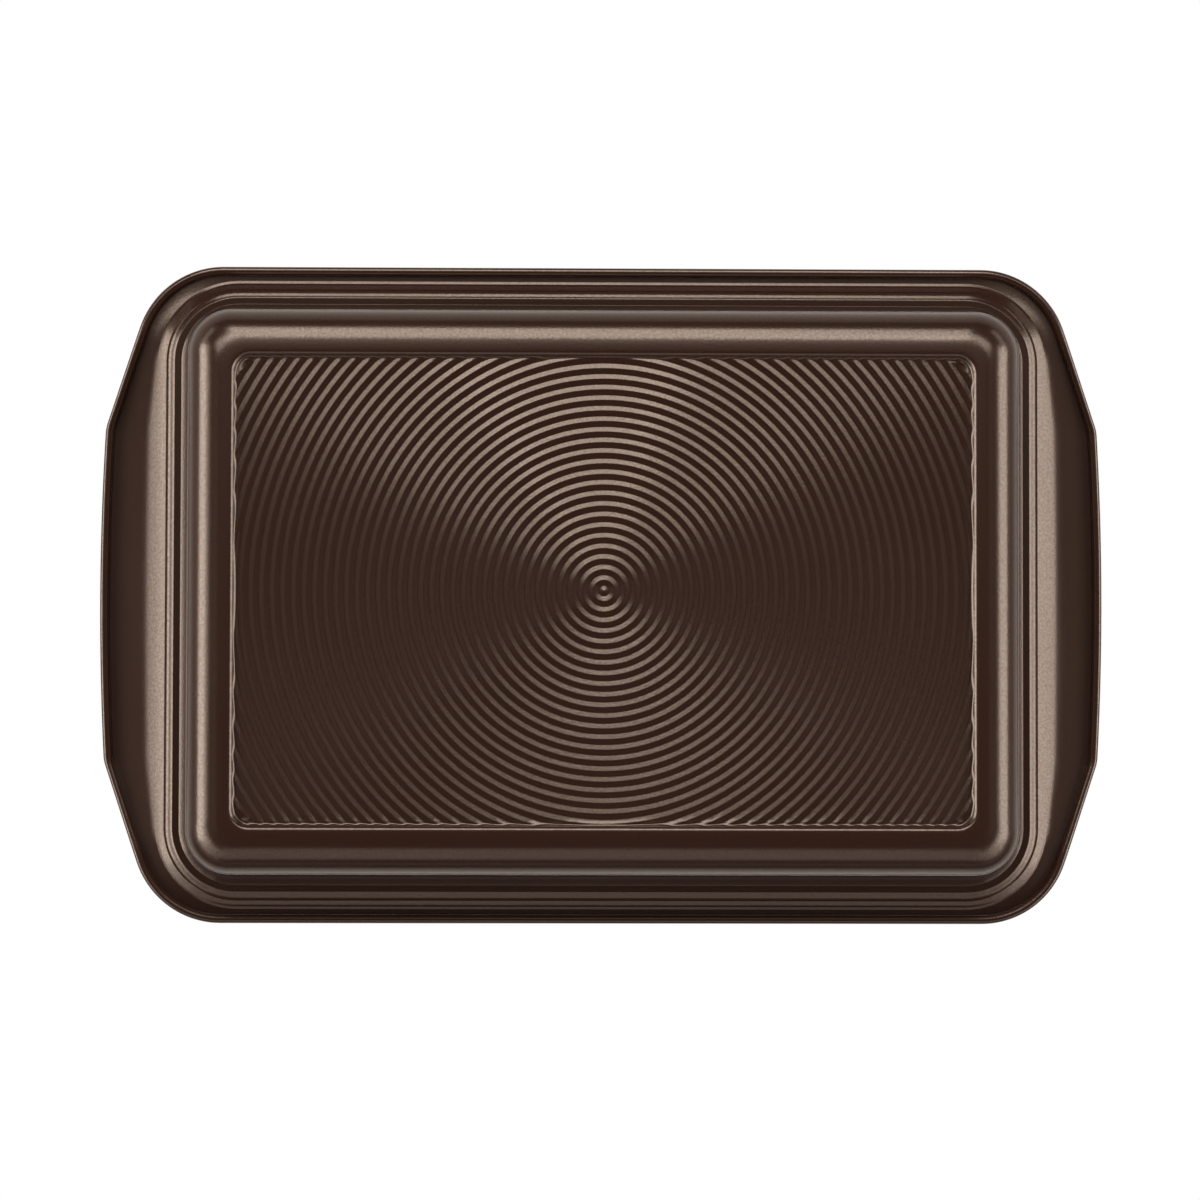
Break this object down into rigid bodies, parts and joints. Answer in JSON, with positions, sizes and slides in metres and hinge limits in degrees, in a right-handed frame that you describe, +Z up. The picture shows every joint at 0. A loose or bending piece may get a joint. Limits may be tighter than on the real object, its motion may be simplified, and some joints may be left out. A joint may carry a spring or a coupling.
{
  "type": "rectangular cake pan",
  "caption": "Rectangular cake pan of drawn steel with a brown coating, a ring-ribbed base, a stepped flange, wide raised handles at its ends and a rolled wired rim.",
  "frame": {"origin": "under the middle of the pan, in the plane of the base border that it stands on", "axes": "+X along the length, towards one handle; +Y across the width; +Z up, out of the open mouth"},
  "size_m": [0.4132, 0.2696, 0.0549],
  "materials": {
    "coated_steel": "satin metallic brown nonstick coating with a fine flake",
    "wire_steel": "bright drawn wire"
  },
  "bodies": {
    "root": {"pan_shell": "coated_steel", "rim_wire": "wire_steel"}
  },
  "joints": []
}
